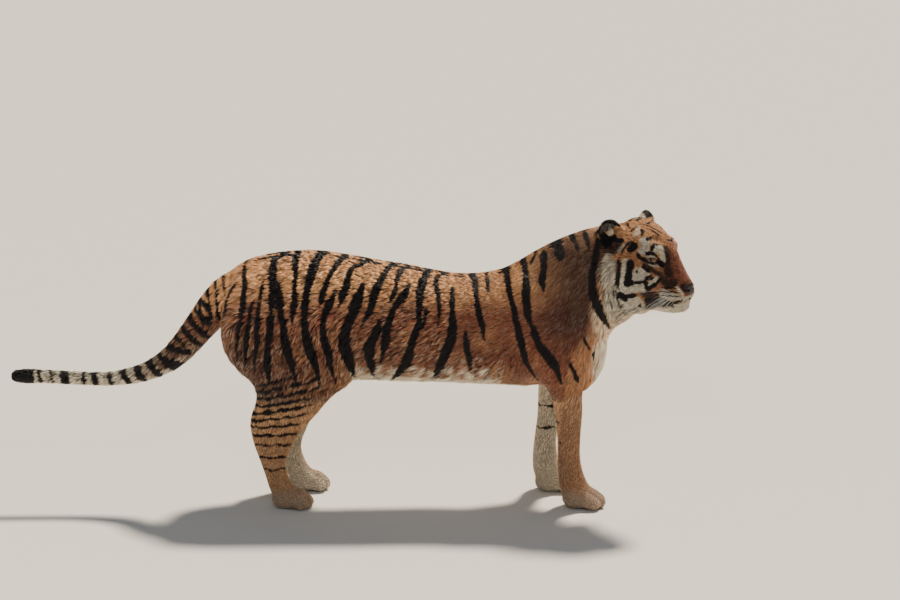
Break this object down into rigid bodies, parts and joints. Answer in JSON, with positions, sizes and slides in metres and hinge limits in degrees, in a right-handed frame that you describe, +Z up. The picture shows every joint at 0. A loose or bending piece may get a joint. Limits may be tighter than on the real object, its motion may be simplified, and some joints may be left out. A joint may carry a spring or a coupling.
{
  "type": "tiger",
  "caption": "Still, life-size adult tiger standing on its four paws, head turned a little to its right and long tail held out low behind.",
  "frame": {"origin": "on the floor, under the middle of the animal's whole box", "axes": "+X forward, along the body from tail to head; +Y the animal's left; +Z up"},
  "size_m": [2.3974, 0.4134, 1.042],
  "materials": {
    "coat_orange": "short dense fur, orange with black stripes, paler underneath",
    "coat_pale": "longer cream-white fur",
    "coat_black": "short black fur",
    "eye": "wet, clear over an amber iris",
    "nose_leather": "moist, fine-pebbled skin"
  },
  "bodies": {
    "root": {"abdomen": "coat_orange", "chest": "coat_orange", "ear_left": "coat_black", "ear_right": "coat_black", "eye_left": "eye", "eye_right": "eye", "forearm_left": "coat_orange", "forearm_right": "coat_orange", "forepaw_left": "coat_orange", "forepaw_right": "coat_orange", "head": "coat_orange", "hind_foot_left": "coat_orange", "hind_foot_right": "coat_orange", "hind_paw_left": "coat_orange", "hind_paw_right": "coat_orange", "lower_jaw": "coat_pale", "neck": "coat_orange", "nose": "nose_leather", "pelvis": "coat_orange", "shank_left": "coat_orange", "shank_right": "coat_orange", "tail_lower": "coat_orange", "tail_root": "coat_orange", "tail_tip": "coat_black", "tail_upper": "coat_orange", "thigh_left": "coat_orange", "thigh_right": "coat_orange", "upper_arm_left": "coat_orange", "upper_arm_right": "coat_orange"}
  },
  "joints": []
}
